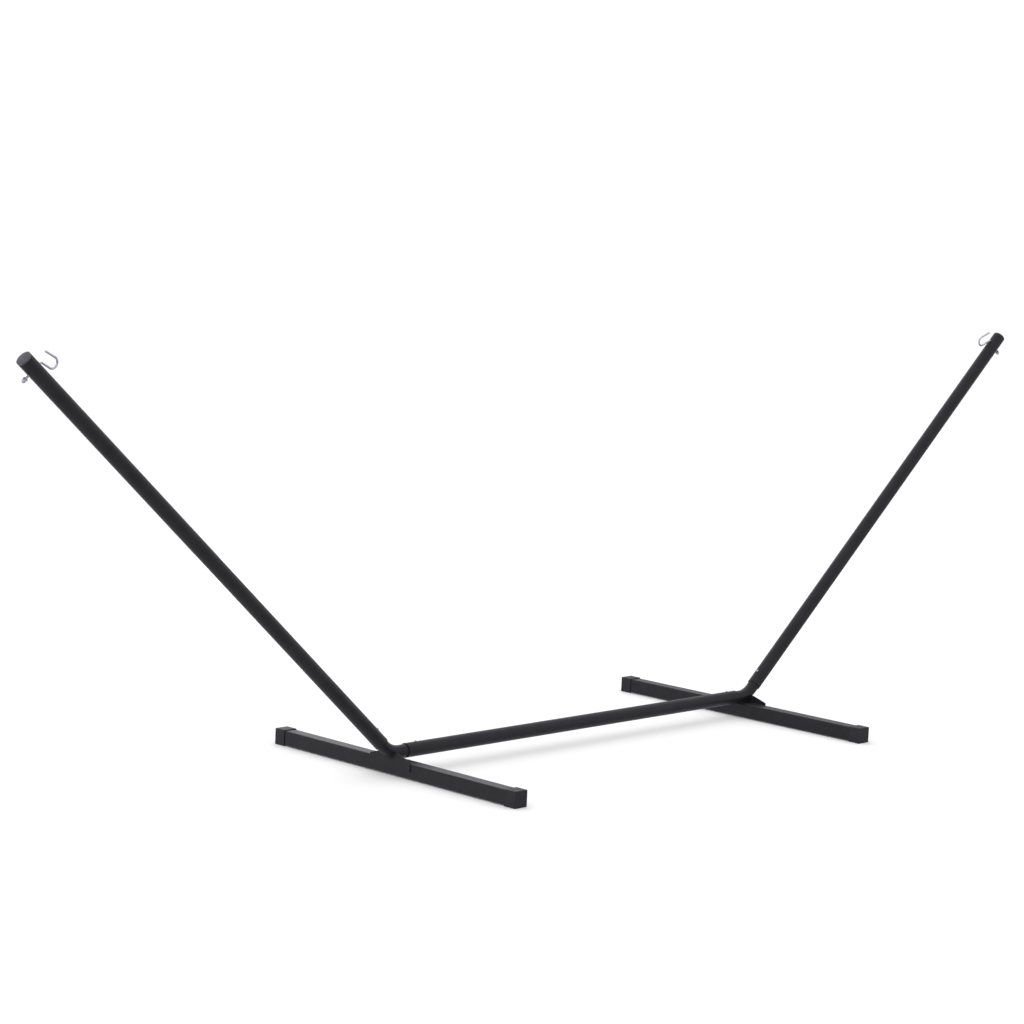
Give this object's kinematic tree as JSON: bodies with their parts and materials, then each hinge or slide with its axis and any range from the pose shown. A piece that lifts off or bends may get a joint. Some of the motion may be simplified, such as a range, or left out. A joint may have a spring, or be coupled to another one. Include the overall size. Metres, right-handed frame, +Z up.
{
  "type": "hammock stand",
  "caption": "Free-standing black steel hammock stand: rising arms sleeved on bent elbows, a low beam, square cross feet with end caps, and swivelling open hooks near the arm tops.",
  "frame": {"origin": "on the ground, midway between the feet and under the middle of the beam: the bottom centre of the bounding box", "axes": "+X along the stand towards its right-hand arm, +Y along the feet towards the back, +Z up; front and left are as seen with the left-hand foot nearest"},
  "size_m": [4.7286, 1.142, 1.3973],
  "materials": {
    "black_powder_coat": "satin black powder coat on steel, fine orange-peel texture",
    "cap_plastic": "black moulded polyethylene, slightly matte",
    "end_cap_plastic": "charcoal moulded polyethylene, fine mould texture",
    "zinc_plate": "bright zinc plate on steel",
    "button_steel": "zinc-plated round button head",
    "spring_steel": "plain oiled spring strip"
  },
  "bodies": {
    "stand": {"beam": "black_powder_coat", "foot_right": "black_powder_coat", "foot_left": "black_powder_coat", "foot_cap_front_right": "cap_plastic", "foot_cap_front_left": "cap_plastic", "foot_cap_back_right": "cap_plastic", "foot_cap_back_left": "cap_plastic", "elbow_right": "black_powder_coat", "elbow_left": "black_powder_coat", "gusset_right": "black_powder_coat", "gusset_left": "black_powder_coat", "arm_right": "black_powder_coat", "arm_left": "black_powder_coat", "arm_end_cap_right": "end_cap_plastic", "arm_end_cap_left": "end_cap_plastic", "arm_leaf_spring_right": "spring_steel", "arm_leaf_spring_left": "spring_steel", "beam_leaf_spring_right": "spring_steel", "beam_leaf_spring_left": "spring_steel"},
    "arm_snap_button_right": {"arm_snap_button_right": "button_steel"},
    "beam_snap_button_right": {"beam_snap_button_right": "button_steel"},
    "hook_washer_right": {"hook_washer_right": "zinc_plate"},
    "hook_right": {"hook_right": "zinc_plate", "hook_cap_nut_right": "zinc_plate"},
    "arm_snap_button_left": {"arm_snap_button_left": "button_steel"},
    "beam_snap_button_left": {"beam_snap_button_left": "button_steel"},
    "hook_washer_left": {"hook_washer_left": "zinc_plate"},
    "hook_left": {"hook_left": "zinc_plate", "hook_cap_nut_left": "zinc_plate"}
  },
  "joints": [
    {"name": "arm_button_press_right", "type": "slide", "parent": "stand", "child": "arm_snap_button_right", "axis": [0.6665, 0, -0.7455], "range_m": [0, 0.0078], "stiffness_N_per_m": 900, "springref_m": -0.004, "deforming": ["arm_leaf_spring_right"]},
    {"name": "beam_button_press_right", "type": "slide", "parent": "stand", "child": "beam_snap_button_right", "axis": [0, 0, -1], "range_m": [0, 0.0078], "stiffness_N_per_m": 900, "springref_m": -0.004, "deforming": ["beam_leaf_spring_right"]},
    {"name": "hook_draw_right", "type": "slide", "parent": "stand", "child": "hook_washer_right", "axis": [-0.7408, 0, 0.6717], "range_m": [0, 0.0115]},
    {"name": "hook_swivel_right", "type": "hinge", "parent": "hook_washer_right", "child": "hook_right", "pos_m": [2.31089, 0, 1.34278], "axis": [-0.7408, 0, 0.6717], "continuous": true},
    {"name": "arm_button_press_left", "type": "slide", "parent": "stand", "child": "arm_snap_button_left", "axis": [-0.6665, 0, -0.7455], "range_m": [0, 0.0078], "stiffness_N_per_m": 900, "springref_m": -0.004, "deforming": ["arm_leaf_spring_left"]},
    {"name": "beam_button_press_left", "type": "slide", "parent": "stand", "child": "beam_snap_button_left", "axis": [0, 0, -1], "range_m": [0, 0.0078], "stiffness_N_per_m": 900, "springref_m": -0.004, "deforming": ["beam_leaf_spring_left"]},
    {"name": "hook_draw_left", "type": "slide", "parent": "stand", "child": "hook_washer_left", "axis": [0.7408, 0, 0.6717], "range_m": [0, 0.0115]},
    {"name": "hook_swivel_left", "type": "hinge", "parent": "hook_washer_left", "child": "hook_left", "pos_m": [-2.31089, 0, 1.34278], "axis": [0.7408, 0, 0.6717], "continuous": true}
  ]
}
